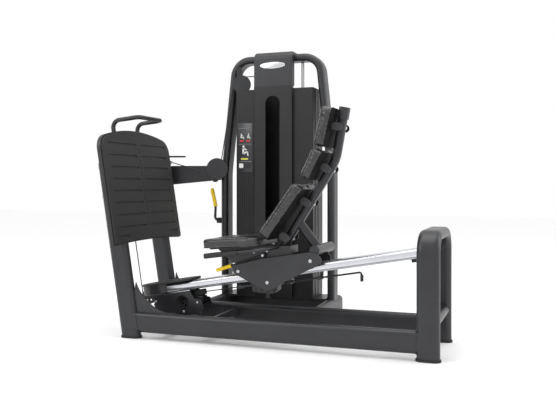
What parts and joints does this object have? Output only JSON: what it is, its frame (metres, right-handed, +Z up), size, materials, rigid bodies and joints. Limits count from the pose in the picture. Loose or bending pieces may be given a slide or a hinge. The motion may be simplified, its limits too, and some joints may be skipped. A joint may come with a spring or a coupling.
{
  "type": "seated leg press machine",
  "caption": "Seated leg press: padded sled on an inclined rail, fixed tread-patterned footplate, cable drive to a shrouded weight stack.",
  "frame": {"origin": "middle of the footprint, on the floor", "axes": "+X from the footplate to the rear stand, +Y from the sled to the weight tower, +Z up"},
  "size_m": [1.8595, 1.11, 1.642],
  "materials": {
    "badge": "satin",
    "chrome": "polished",
    "dark": "satin powder coat",
    "frame": "satin powder coat",
    "iron": "satin",
    "leather": "soft sheen",
    "plastic": "fine texture",
    "plate": "satin powder coat",
    "rubber": "matt",
    "sheave": "fine texture",
    "steel": "brushed",
    "yellow": "satin"
  },
  "bodies": {
    "frame": {"base_beams": "frame", "centre_column": "plate", "cross_tubes": "frame", "drive_cable": "rubber", "foot_pads": "rubber", "footplate_handle": "plate", "footplate_mat": "rubber", "footplate_shell": "plate", "frame_bolts": "steel", "frame_brackets": "frame", "front_panels": "dark", "front_uprights": "frame", "guide_rods": "chrome", "mechanism_cheeks": "frame", "pulley_arm": "frame", "rail": "chrome", "rear_stand": "frame", "resting_weights": "iron", "rubber_stops": "rubber", "sheave_brackets": "steel", "sheave_covers": "plastic", "shroud_panels": "dark", "step_housing": "plastic", "step_tread": "rubber", "tower_base": "frame", "tower_cap": "plastic", "tower_frame": "frame", "tower_plates": "badge"},
    "sled": {"sled_plates": "plate", "sled_fasteners": "steel", "sled_frame": "frame", "latch_housing": "plate", "seat_bracket": "plate", "seat_cushion": "leather", "grip_sleeves": "rubber", "back_frame": "frame", "back_cover": "frame", "lower_cushion": "leather", "middle_cushion": "leather", "head_cushion": "leather", "cushion_tabs": "plate", "sled_cable": "rubber"},
    "weights": {"lifted_weights": "iron", "stack_head": "iron", "stack_cable": "rubber"},
    "front_sheave": {"front_sheave": "sheave"},
    "turn_sheave": {"turn_sheave": "sheave"},
    "plate_sheave": {"plate_sheave": "sheave"},
    "shelf_sheave": {"shelf_sheave": "sheave"},
    "arm_sheave": {"arm_sheave": "sheave"},
    "side_sheave": {"side_sheave": "sheave"},
    "stack_sheave": {"stack_sheave": "sheave"},
    "front_rollers": {"front_rollers": "sheave"},
    "middle_rollers": {"middle_rollers": "sheave"},
    "rear_rollers": {"rear_rollers": "sheave"},
    "selector_pin": {"selector_pin": "steel"},
    "start_lever": {"start_lever": "yellow"},
    "lock_pin": {"lock_pin": "steel"},
    "safety_lever": {"safety_lever": "yellow"},
    "adjuster_rod": {"adjuster_rod": "steel"}
  },
  "joints": [
    {"name": "sled_slide", "type": "slide", "parent": "frame", "child": "sled", "axis": [0.9856, 0, 0.1693], "range_m": [0, 0.45], "deforming": ["sled_cable"]},
    {"name": "weight_lift", "type": "slide", "parent": "frame", "child": "weights", "axis": [0, 0, 1], "range_m": [0, 0.45], "deforming": ["stack_cable"]},
    {"name": "front_spin", "type": "hinge", "parent": "frame", "child": "front_sheave", "pos_m": [-0.5049, -0.185, 0.17389], "axis": [0, -1, 0], "range_deg": [-720, 720]},
    {"name": "turn_spin", "type": "hinge", "parent": "frame", "child": "turn_sheave", "pos_m": [-0.7455, -0.185, 0.18597], "axis": [0, 1, 0], "range_deg": [-720, 720]},
    {"name": "plate_spin", "type": "hinge", "parent": "frame", "child": "plate_sheave", "pos_m": [-0.90764, -0.147, 0.95207], "axis": [-0.9871, 0.0113, -0.1599], "range_deg": [-720, 720]},
    {"name": "shelf_spin", "type": "hinge", "parent": "frame", "child": "shelf_sheave", "pos_m": [-0.87216, 0.23671, 0.97461], "axis": [-0.2821, -0.0069, -0.9594], "range_deg": [-720, 720]},
    {"name": "arm_spin", "type": "hinge", "parent": "frame", "child": "arm_sheave", "pos_m": [-0.58244, 0.34435, 0.92826], "axis": [0.2244, -0.9737, -0.0387], "range_deg": [-720, 720]},
    {"name": "side_spin", "type": "hinge", "parent": "frame", "child": "side_sheave", "pos_m": [-0.41593, 0.36493, 1.4634], "axis": [-0.3094, 0.9494, 0.0534], "range_deg": [-720, 720]},
    {"name": "stack_spin", "type": "hinge", "parent": "frame", "child": "stack_sheave", "pos_m": [-0.21338, 0.42831, 1.47235], "axis": [-0.3077, 0.9515, 0], "range_deg": [-720, 720]},
    {"name": "front_rollers_spin", "type": "hinge", "parent": "sled", "child": "front_rollers", "pos_m": [-0.15201, -0.185, 0.36413], "axis": [0, 1, 0], "range_deg": [-1800, 1800]},
    {"name": "middle_rollers_spin", "type": "hinge", "parent": "sled", "child": "middle_rollers", "pos_m": [0.01357, -0.185, 0.31121], "axis": [0, 1, 0], "range_deg": [-1800, 1800]},
    {"name": "rear_rollers_spin", "type": "hinge", "parent": "sled", "child": "rear_rollers", "pos_m": [0.24999, -0.185, 0.43321], "axis": [0, 1, 0], "range_deg": [-1800, 1800]},
    {"name": "selector_pull", "type": "slide", "parent": "weights", "child": "selector_pin", "axis": [0, -1, 0], "range_m": [0, 0.09]},
    {"name": "start_lever_pull", "type": "hinge", "parent": "sled", "child": "start_lever", "pos_m": [-0.01822, -0.261, 0.452], "axis": [0, 1, 0], "range_deg": [0, 12], "stiffness_Nm_per_rad": 20, "springref_deg": -8.59},
    {"name": "lock_pin_slide", "type": "slide", "parent": "sled", "child": "lock_pin", "axis": [0, 0, -1], "range_m": [0, 0.01]},
    {"name": "safety_lever_turn", "type": "hinge", "parent": "frame", "child": "safety_lever", "pos_m": [-0.56822, 0.4, 0.598], "axis": [0, 1, 0], "range_deg": [-30, 0]},
    {"name": "adjuster_turn", "type": "hinge", "parent": "sled", "child": "adjuster_rod", "pos_m": [0.09228, -0.141, 0.30252], "axis": [0.9856, 0, 0.1693], "range_deg": [0, 90]}
  ],
  "couplings": [
    {"joint": "weight_lift", "follows": "sled_slide", "ratio": 1},
    {"joint": "front_spin", "follows": "sled_slide", "rad_per_m": -26.316},
    {"joint": "turn_spin", "follows": "sled_slide", "rad_per_m": -26.316},
    {"joint": "plate_spin", "follows": "sled_slide", "rad_per_m": -26.316},
    {"joint": "shelf_spin", "follows": "sled_slide", "rad_per_m": -26.316},
    {"joint": "arm_spin", "follows": "sled_slide", "rad_per_m": -26.316},
    {"joint": "side_spin", "follows": "sled_slide", "rad_per_m": -26.316},
    {"joint": "stack_spin", "follows": "sled_slide", "rad_per_m": -26.316},
    {"joint": "front_rollers_spin", "follows": "sled_slide", "rad_per_m": 66.667},
    {"joint": "middle_rollers_spin", "follows": "sled_slide", "rad_per_m": -66.667},
    {"joint": "rear_rollers_spin", "follows": "sled_slide", "rad_per_m": 66.667},
    {"joint": "lock_pin_slide", "follows": "start_lever_pull", "m_per_rad": 0.0477}
  ]
}
